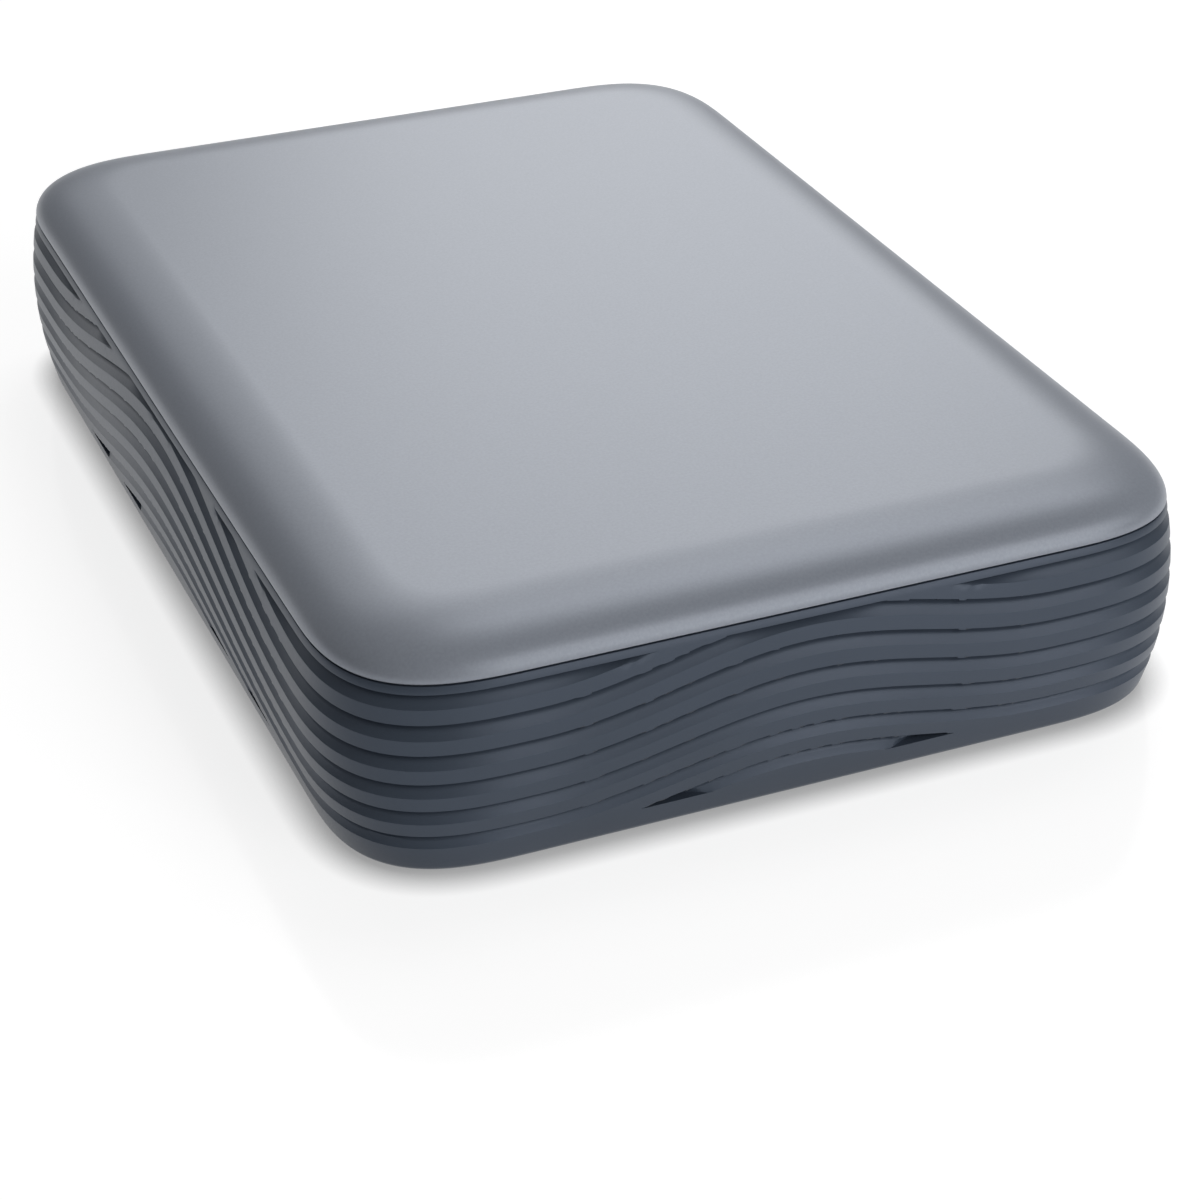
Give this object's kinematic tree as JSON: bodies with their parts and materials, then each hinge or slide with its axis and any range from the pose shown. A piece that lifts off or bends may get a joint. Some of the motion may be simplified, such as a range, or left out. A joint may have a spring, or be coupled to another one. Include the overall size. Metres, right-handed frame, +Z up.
{
  "type": "external hard drive",
  "caption": "Palm-sized external hard drive: a slate plastic casing with waving horizontal ridges under a smooth crowned silver-grey cover, with its disk drive inside",
  "frame": {"origin": "under the middle of the casing, on the surface the rubber feet stand on", "axes": "+X along the width, +Y along the length towards the end with the data socket, +Z up through the cover"},
  "size_m": [0.08, 0.1144, 0.0223],
  "materials": {
    "slate_plastic": "moulded ABS with a fine satin texture",
    "silver_plastic": "moulded ABS with a satin silver-grey finish",
    "black_rubber": "moulded elastomer",
    "plated_steel": "nickel-plated sheet steel",
    "bearing_steel": "ground and polished",
    "cast_aluminium": "die cast and coated, machined on its seats",
    "disk_mirror": "lapped and sputtered",
    "magnet_plating": "nickel-plated sintered magnet",
    "copper_winding": "enamelled copper wire",
    "green_board": "glass-fibre laminate under solder mask",
    "black_plastic": "moulded thermoplastic",
    "ivory_plastic": "low-friction moulded plastic",
    "clear_plastic": "clear moulded plastic",
    "filter_cloth": "pleated non-woven cloth"
  },
  "bodies": {
    "casing": {"lower_case": "slate_plastic", "top_cover": "silver_plastic", "rubber_feet": "black_rubber", "corner_pads": "black_rubber", "usb_socket_shell": "plated_steel", "usb_socket_tongue": "black_plastic", "bridge_board": "green_board", "bridge_chips": "black_plastic", "sata_receptacle": "black_plastic", "light_guide": "clear_plastic", "status_light": "clear_plastic", "board_screws": "plated_steel", "drive_base": "cast_aluminium", "drive_lid": "plated_steel", "lid_gasket": "black_rubber", "lid_screws": "plated_steel", "drive_board": "green_board", "drive_board_chips": "black_plastic", "drive_board_screws": "plated_steel", "drive_plug": "black_plastic", "spindle_shaft": "bearing_steel", "motor_stator": "copper_winding", "pivot_shaft": "bearing_steel", "lower_yoke": "plated_steel", "lower_magnet": "magnet_plating", "upper_yoke": "plated_steel", "upper_magnet": "magnet_plating", "yoke_posts": "plated_steel", "load_ramp": "ivory_plastic", "air_filter": "filter_cloth"},
    "spindle": {"spindle_hub": "bearing_steel", "disks": "disk_mirror", "disk_spacers": "cast_aluminium", "disk_clamp": "plated_steel", "clamp_screws": "plated_steel"},
    "actuator": {"head_arm_block": "cast_aluminium", "head_suspensions": "bearing_steel", "read_heads": "black_plastic", "voice_coil": "copper_winding"}
  },
  "joints": [
    {"name": "spindle_spin", "type": "hinge", "parent": "casing", "child": "spindle", "pos_m": [0, -0.01705, 0.01], "axis": [0, 0, 1], "continuous": true},
    {"name": "actuator_swing", "type": "hinge", "parent": "casing", "child": "actuator", "pos_m": [0.012, 0.02065, 0.01], "axis": [0, 0, 1], "range_deg": [0, 36]}
  ]
}
